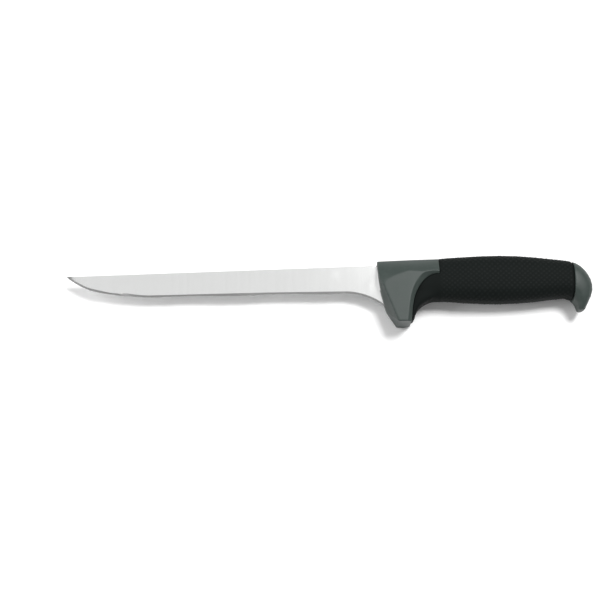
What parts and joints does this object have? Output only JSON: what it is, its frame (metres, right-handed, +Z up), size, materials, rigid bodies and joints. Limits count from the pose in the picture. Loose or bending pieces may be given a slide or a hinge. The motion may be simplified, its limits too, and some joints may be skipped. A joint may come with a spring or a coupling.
{
  "type": "fillet knife",
  "caption": "Narrow flexible blade with a curved tip, set in a hard moulded handle with a finger guard, a hooked butt and a soft textured grip.",
  "frame": {"origin": "centre of the part's outer box, at the level of the flank that it rests on", "axes": "+X along the handle from the tip of the blade to the butt, +Y towards the spine, +Z up, square to the knife's flanks"},
  "size_m": [0.319, 0.0416, 0.024],
  "materials": {
    "steel": "satin, ground across the blade",
    "hard_plastic": "semi-gloss slate grey moulding",
    "soft_grip": "matte black with a fine raised texture"
  },
  "bodies": {
    "root": {"blade": "steel", "handle_core": "hard_plastic", "grip_sleeve": "soft_grip"}
  },
  "joints": []
}
